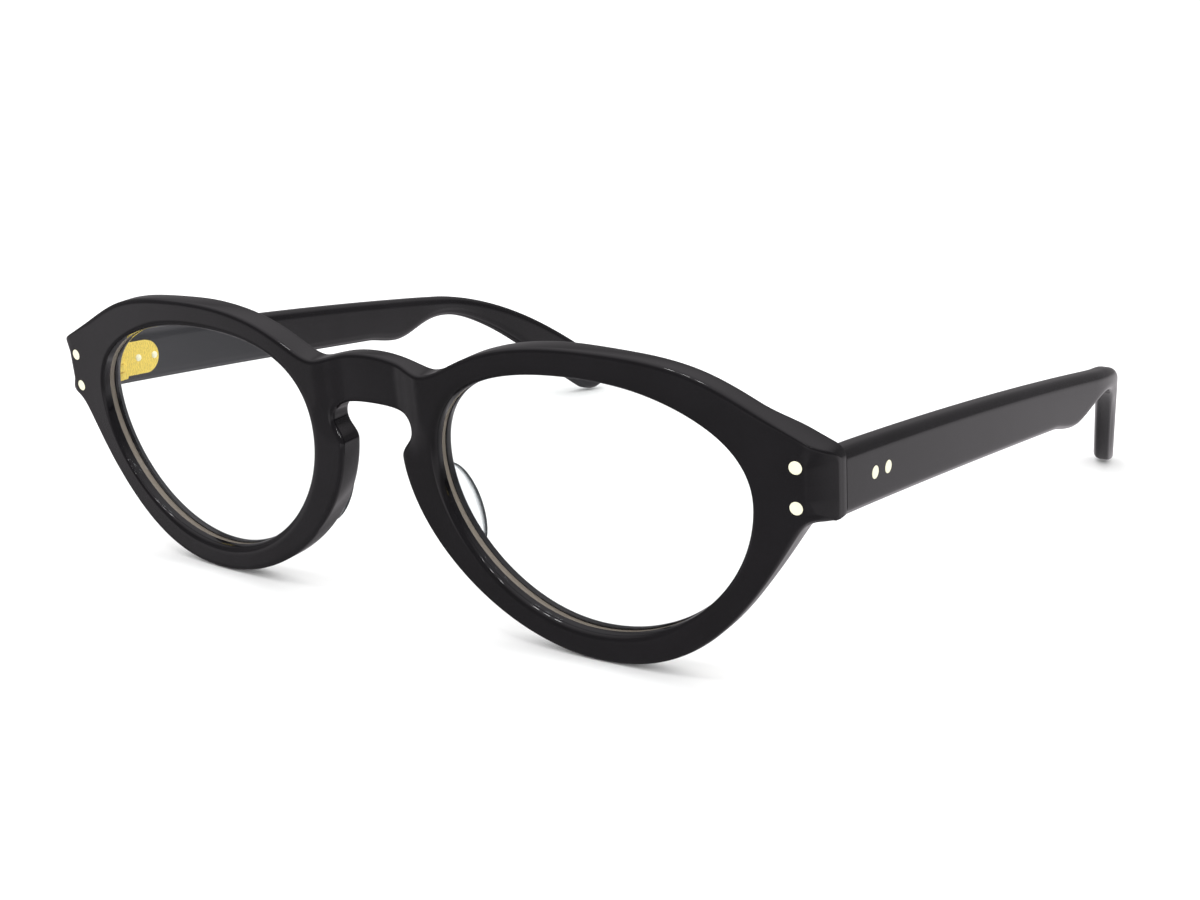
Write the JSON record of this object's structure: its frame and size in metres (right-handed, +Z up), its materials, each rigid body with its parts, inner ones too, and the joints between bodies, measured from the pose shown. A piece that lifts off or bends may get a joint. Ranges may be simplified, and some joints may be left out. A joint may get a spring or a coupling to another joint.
{
  "type": "keyhole-bridge acetate eyeglasses",
  "caption": "Folding black acetate eyeglasses with soft oval rims, a keyhole bridge, clear lenses, glued clear nose pads, riveted gold hinges and curved temples.",
  "frame": {"origin": "middle of the footprint, on the surface the glasses stand on", "axes": "+Z up, the front faces -Y, the temples run back along +Y, +X is the wearer's left"},
  "size_m": [0.1438, 0.148, 0.0427],
  "materials": {
    "black_acetate": "polished black cellulose acetate",
    "clear_lens": "clear coated lens",
    "clear_pad": "clear acetate, satin",
    "hinge_gold": "bright gold plate",
    "rivet_gold": "pale gold, sanded flush",
    "core_steel": "drawn wire"
  },
  "bodies": {
    "front": {"front": "black_acetate", "lens_left": "clear_lens", "nose_pad_left": "clear_pad", "front_rivet_upper_left": "rivet_gold", "front_rivet_lower_left": "rivet_gold", "front_hinge_left": "hinge_gold", "hinge_screw_left": "hinge_gold", "lens_right": "clear_lens", "nose_pad_right": "clear_pad", "front_rivet_upper_right": "rivet_gold", "front_rivet_lower_right": "rivet_gold", "front_hinge_right": "hinge_gold", "hinge_screw_right": "hinge_gold"},
    "temple_left": {"temple_left": "black_acetate", "core_wire_left": "core_steel", "temple_hinge_left": "hinge_gold", "temple_rivet_front_left": "rivet_gold", "temple_rivet_rear_left": "rivet_gold"},
    "temple_right": {"temple_right": "black_acetate", "core_wire_right": "core_steel", "temple_hinge_right": "hinge_gold", "temple_rivet_front_right": "rivet_gold", "temple_rivet_rear_right": "rivet_gold"}
  },
  "joints": [
    {"name": "temple_left_fold", "type": "hinge", "parent": "front", "child": "temple_left", "pos_m": [0.0624, -0.06396, 0.02897], "axis": [0, -0.1108, 0.9938], "range_deg": [0, 90]},
    {"name": "temple_right_fold", "type": "hinge", "parent": "front", "child": "temple_right", "pos_m": [-0.0624, -0.06396, 0.02897], "axis": [0, 0.1108, -0.9938], "range_deg": [0, 81]}
  ]
}
